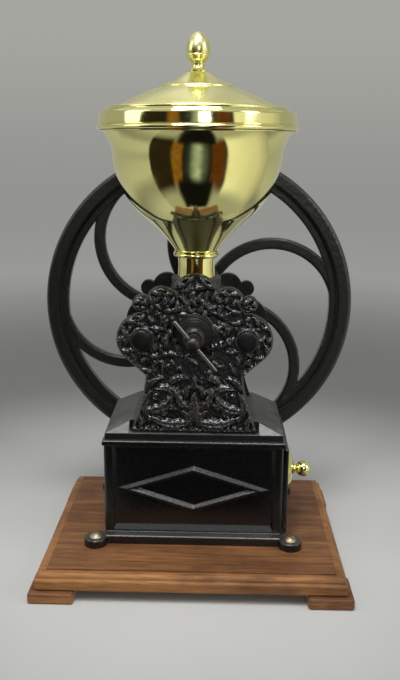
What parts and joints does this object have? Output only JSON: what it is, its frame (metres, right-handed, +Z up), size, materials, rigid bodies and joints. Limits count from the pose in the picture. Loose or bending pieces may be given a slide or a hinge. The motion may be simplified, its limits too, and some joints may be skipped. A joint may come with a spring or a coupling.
{
  "type": "hand crank coffee grinder",
  "caption": "Counter coffee mill: flywheel with crank grip, covered brass hopper, cast body with adjuster, drawer housing and moulded wooden board on feet.",
  "frame": {"origin": "bottom centre of the whole object's box, on the surface that the feet stand on", "axes": "+Z up, +X towards the drawer's knob, -Y towards the front plate and its adjusting screw"},
  "size_m": [0.3819, 0.3698, 0.583],
  "materials": {
    "black_iron": "gloss black paint, worn",
    "wheel_iron": "semi-gloss black paint",
    "polished_brass": "polished",
    "board_wood": "stained and waxed",
    "grip_wood": "oiled, turned",
    "runner_wood": "bare",
    "steel": "turned",
    "dark_steel": "blackened, worn bright",
    "worn_screw": "tarnished",
    "bronze": "bored bearing bronze",
    "burr_iron": "hardened, ground",
    "tin_plate": "tinned sheet"
  },
  "bodies": {
    "frame": {"base_board": "board_wood", "base_feet": "board_wood", "foot_screws": "steel", "drawer_housing": "black_iron", "lug_screws": "worn_screw", "drawer_runners": "runner_wood", "body_screws": "steel", "mill_body": "black_iron", "front_plate": "black_iron", "cover_bolts": "black_iron", "front_bush": "bronze", "rear_bush": "bronze", "outer_burr": "burr_iron", "burr_set_screws": "steel", "adjuster_gland": "black_iron", "hopper_bowl": "polished_brass", "hopper_neck": "polished_brass", "hopper_collar": "polished_brass", "neck_set_screw": "steel", "thrust_spring": "steel"},
    "thrust": {"thrust_pad": "steel"},
    "adjuster": {"adjusting_screw": "dark_steel", "tommy_bar": "dark_steel"},
    "rotor": {"main_shaft": "steel", "burr_key": "steel", "inner_burr": "burr_iron", "feed_worm": "burr_iron", "wheel_rim": "wheel_iron", "wheel_spokes": "wheel_iron", "wheel_hub": "wheel_iron", "wheel_key": "steel", "wheel_washer": "steel", "wheel_nut": "black_iron", "handle_stud": "steel", "stud_nut": "steel"},
    "grip": {"handle_grip": "grip_wood"},
    "lid": {"hopper_lid": "polished_brass", "lid_finial": "polished_brass", "finial_nut": "polished_brass"},
    "drawer": {"drawer_tray": "tin_plate", "drawer_front": "black_iron", "drawer_rivets": "steel", "knob_rosette": "polished_brass", "drawer_knob": "polished_brass", "knob_nut": "polished_brass"}
  },
  "joints": [
    {"name": "thrust_shift", "type": "slide", "parent": "frame", "child": "thrust", "axis": [0, 1, 0], "range_m": [-0.001, 0.001], "deforming": ["thrust_spring"]},
    {"name": "adjuster_turn", "type": "hinge", "parent": "thrust", "child": "adjuster", "pos_m": [0, -0.15285, 0.2735], "axis": [0, 1, 0], "range_deg": [-180, 180]},
    {"name": "wheel_spin", "type": "hinge", "parent": "thrust", "child": "rotor", "pos_m": [0, 0.06615, 0.2735], "axis": [0, 1, 0], "continuous": true},
    {"name": "grip_spin", "type": "hinge", "parent": "rotor", "child": "grip", "pos_m": [0, 0.08375, 0.0935], "axis": [0, 1, 0], "continuous": true},
    {"name": "lid_lift", "type": "slide", "parent": "frame", "child": "lid", "axis": [0, 0, 1], "range_m": [0, 0.08]},
    {"name": "drawer_slide", "type": "slide", "parent": "frame", "child": "drawer", "axis": [1, 0, 0], "range_m": [0, 0.195]}
  ],
  "couplings": [
    {"joint": "adjuster_turn", "follows": "thrust_shift", "rad_per_m": 3141.6}
  ]
}
